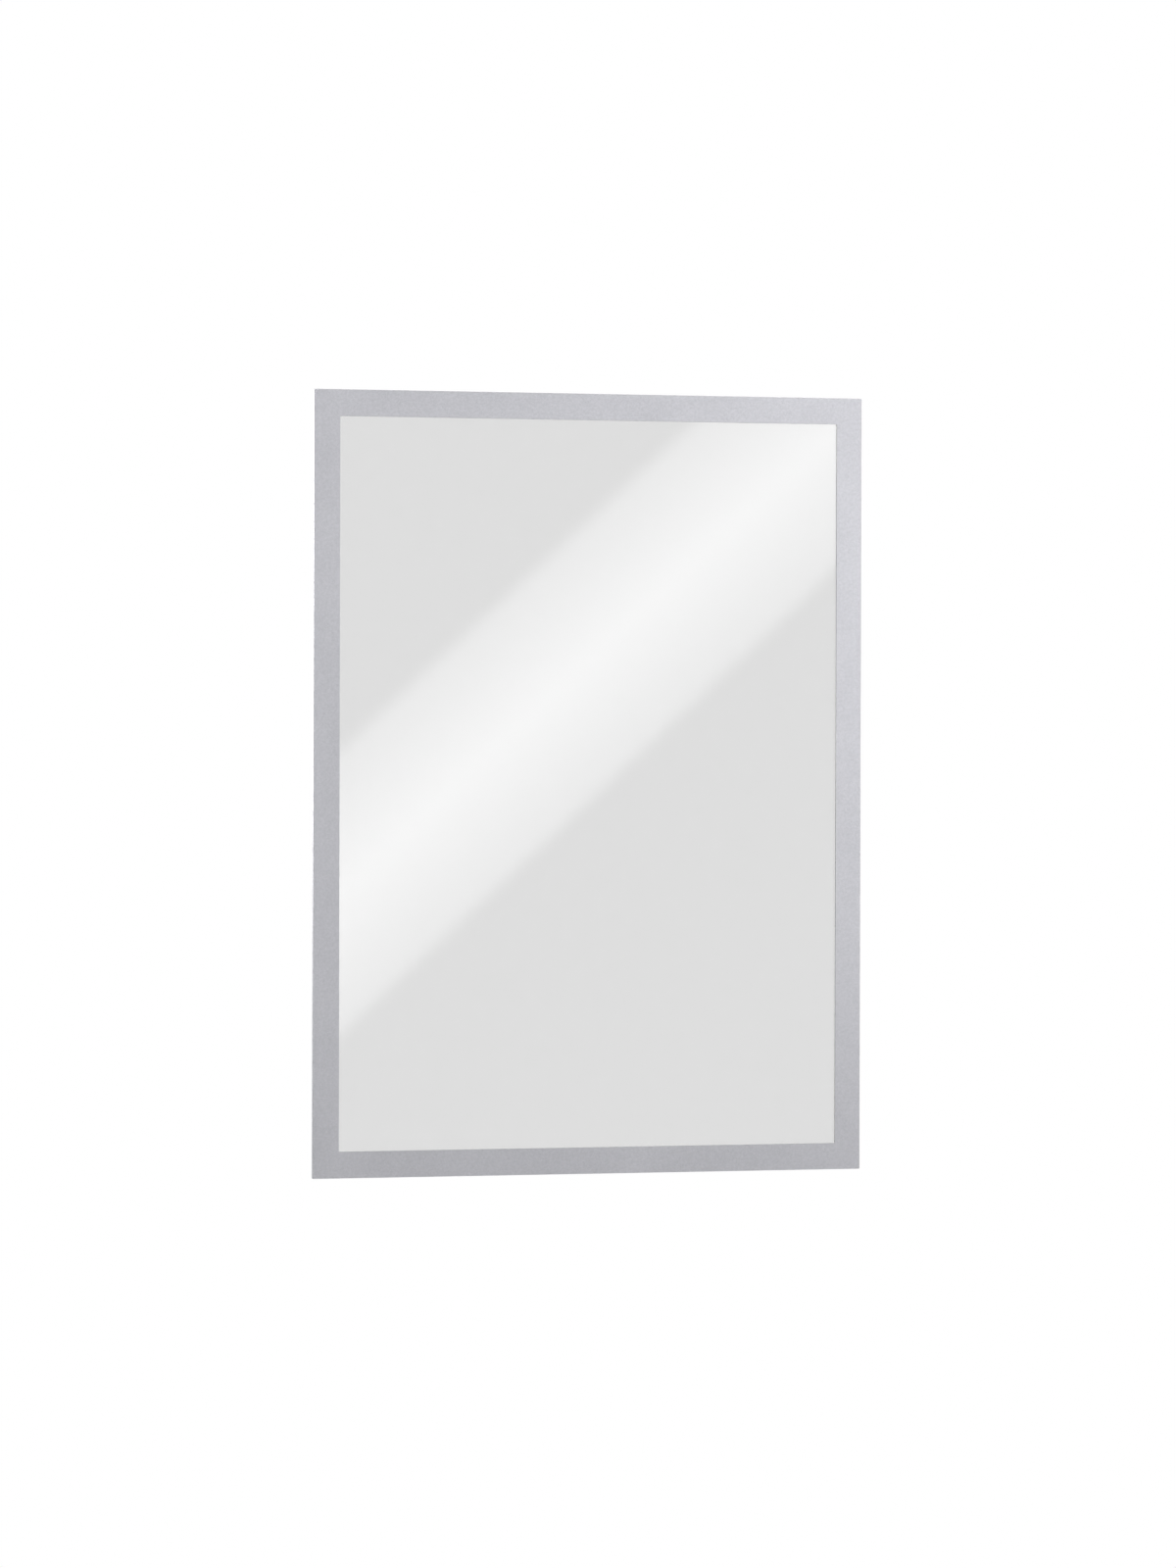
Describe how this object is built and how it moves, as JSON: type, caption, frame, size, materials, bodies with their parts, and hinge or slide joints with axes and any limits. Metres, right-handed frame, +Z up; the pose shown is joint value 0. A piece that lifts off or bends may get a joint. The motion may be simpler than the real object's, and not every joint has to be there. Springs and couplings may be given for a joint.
{
  "type": "magnetic display frame",
  "caption": "Slim wall frame for a paper sheet: a clear window in a silver border folds open on a film hinge at the left and is held shut by magnetic strips all round.",
  "frame": {"origin": "middle of the frame's back, in the plane of the wall that the fixing tape sticks to", "axes": "+X to the right seen from the front, +Y into the wall, +Z up; the window faces -Y"},
  "size_m": [0.3252, 0.0028, 0.445],
  "materials": {
    "fixing_tape": "matte",
    "rear_clear_sheet": "gloss",
    "silver_film": "satin",
    "magnetic_rubber": "matte",
    "window_clear_film": "gloss"
  },
  "bodies": {
    "rear_leaf": {"mounting_tape_left": "fixing_tape", "mounting_tape_right": "fixing_tape", "mounting_tape_top": "fixing_tape", "mounting_tape_bottom": "fixing_tape", "rear_sheet": "rear_clear_sheet", "rear_cover_film": "silver_film", "rear_magnet_left": "magnetic_rubber", "rear_magnet_right": "magnetic_rubber", "rear_magnet_top": "magnetic_rubber", "rear_magnet_bottom": "magnetic_rubber"},
    "front_leaf": {"window_film": "window_clear_film", "front_magnet_left": "magnetic_rubber", "front_magnet_right": "magnetic_rubber", "front_magnet_top": "magnetic_rubber", "front_magnet_bottom": "magnetic_rubber", "front_cover_film": "silver_film"}
  },
  "joints": [
    {"name": "film_hinge", "type": "hinge", "parent": "rear_leaf", "child": "front_leaf", "pos_m": [-0.1628, -0.0015, 0], "axis": [0, 0, -1], "range_deg": [0, 180]}
  ]
}
